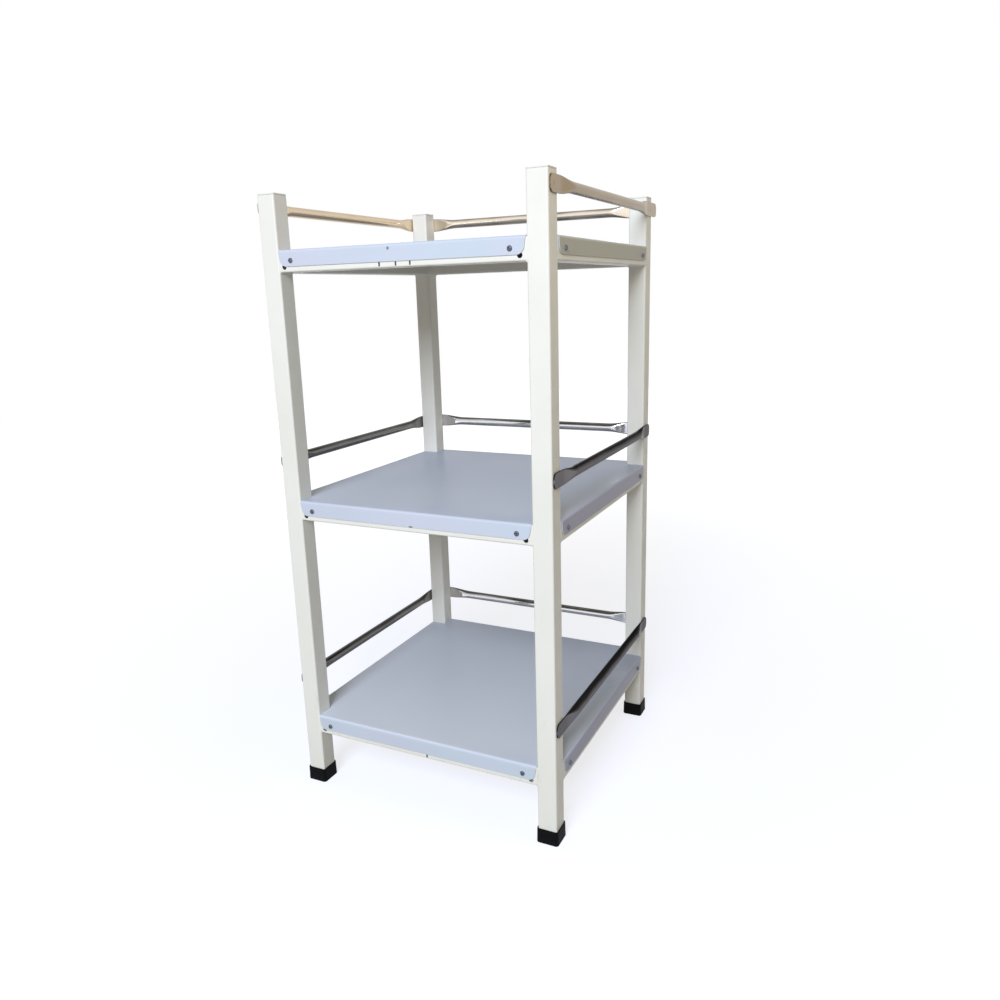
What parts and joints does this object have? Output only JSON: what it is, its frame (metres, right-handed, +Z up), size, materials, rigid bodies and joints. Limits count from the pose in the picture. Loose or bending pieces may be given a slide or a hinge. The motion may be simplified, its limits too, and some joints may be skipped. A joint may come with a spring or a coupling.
{
  "type": "chart rack",
  "caption": "Free-standing open chart rack of square steel tube with folded sheet trays, pressed-end guard rails on three sides and rubber shoes.",
  "frame": {"origin": "on the floor, in the middle of the rack's outline", "axes": "+Z up, the open front faces -Y, +X to the right seen from the front"},
  "size_m": [0.499, 0.504, 1],
  "materials": {
    "cream_paint": "ivory powder coat, satin",
    "tray_sheet": "steel sheet under a pale blue-grey film, semi-gloss",
    "polished_rail": "polished steel tube",
    "screw_steel": "plated steel",
    "shoe_rubber": "matt black",
    "cap_plastic": "ivory, satin"
  },
  "bodies": {
    "root": {"post_front_left": "cream_paint", "shoe_front_left": "shoe_rubber", "post_cap_front_left": "cap_plastic", "post_front_right": "cream_paint", "shoe_front_right": "shoe_rubber", "post_cap_front_right": "cap_plastic", "post_rear_left": "cream_paint", "shoe_rear_left": "shoe_rubber", "post_cap_rear_left": "cap_plastic", "post_rear_right": "cream_paint", "shoe_rear_right": "shoe_rubber", "post_cap_rear_right": "cap_plastic", "tray_bottom": "tray_sheet", "frame_bottom_front": "cream_paint", "frame_bottom_right": "cream_paint", "rail_bottom_right": "polished_rail", "frame_bottom_rear": "cream_paint", "rail_bottom_rear": "polished_rail", "frame_bottom_left": "cream_paint", "rail_bottom_left": "polished_rail", "tray_middle": "tray_sheet", "frame_middle_front": "cream_paint", "frame_middle_right": "cream_paint", "rail_middle_right": "polished_rail", "frame_middle_rear": "cream_paint", "rail_middle_rear": "polished_rail", "frame_middle_left": "cream_paint", "rail_middle_left": "polished_rail", "tray_top": "tray_sheet", "frame_top_front": "cream_paint", "frame_top_right": "cream_paint", "rail_top_right": "polished_rail", "frame_top_rear": "cream_paint", "rail_top_rear": "polished_rail", "frame_top_left": "cream_paint", "rail_top_left": "polished_rail", "screw_bottom_front_left": "screw_steel", "screw_bottom_front_right": "screw_steel", "screw_bottom_right_front": "screw_steel", "screw_bottom_right_rear": "screw_steel", "screw_bottom_rear_left": "screw_steel", "screw_bottom_rear_right": "screw_steel", "screw_bottom_left_front": "screw_steel", "screw_bottom_left_rear": "screw_steel", "screw_middle_front_left": "screw_steel", "screw_middle_front_right": "screw_steel", "screw_middle_right_front": "screw_steel", "screw_middle_right_rear": "screw_steel", "screw_middle_rear_left": "screw_steel", "screw_middle_rear_right": "screw_steel", "screw_middle_left_front": "screw_steel", "screw_middle_left_rear": "screw_steel", "screw_top_front_left": "screw_steel", "screw_top_front_right": "screw_steel", "screw_top_right_front": "screw_steel", "screw_top_right_rear": "screw_steel", "screw_top_rear_left": "screw_steel", "screw_top_rear_right": "screw_steel", "screw_top_left_front": "screw_steel", "screw_top_left_rear": "screw_steel"}
  },
  "joints": []
}
